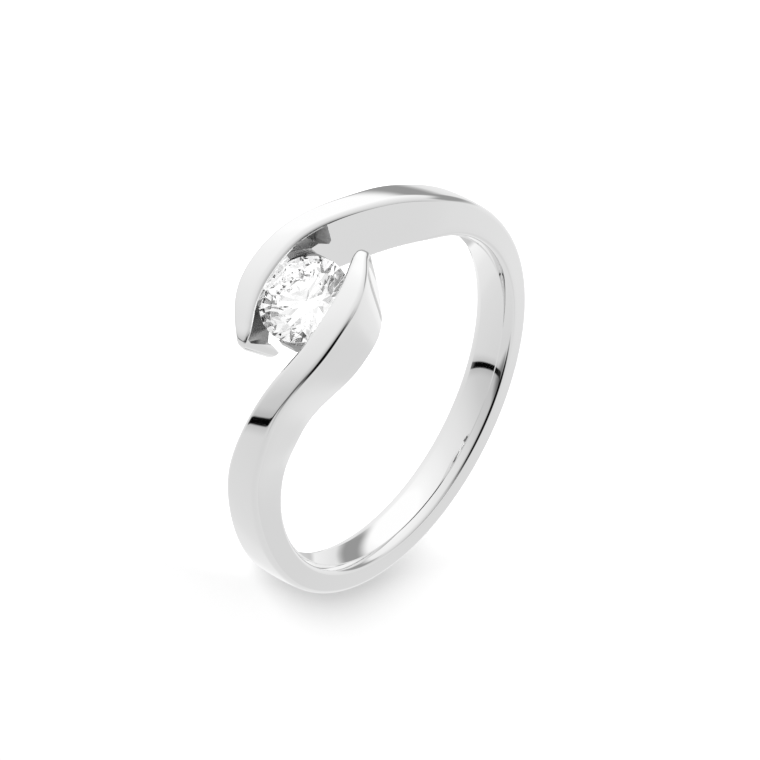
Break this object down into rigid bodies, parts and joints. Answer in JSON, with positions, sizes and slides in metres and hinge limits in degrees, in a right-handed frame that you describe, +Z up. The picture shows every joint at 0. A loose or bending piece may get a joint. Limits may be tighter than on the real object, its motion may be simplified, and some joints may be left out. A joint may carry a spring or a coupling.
{
  "type": "solitaire ring",
  "caption": "Polished white metal bypass ring, lying on its side: two arms sweep past a round brilliant-cut stone and hold it by its edge above an open finger hole.",
  "frame": {"origin": "centre of the bounding box, on the surface that the ring lies on", "axes": "+Z up from that surface, near the finger hole's axis; +Y across the ring towards the stone; +X across the finger"},
  "size_m": [0.0202, 0.0222, 0.0065],
  "materials": {
    "white_metal": "mirror polished white gold or platinum",
    "stone": "faceted and polished colourless gemstone"
  },
  "bodies": {
    "root": {"band": "white_metal", "stone": "stone"}
  },
  "joints": []
}
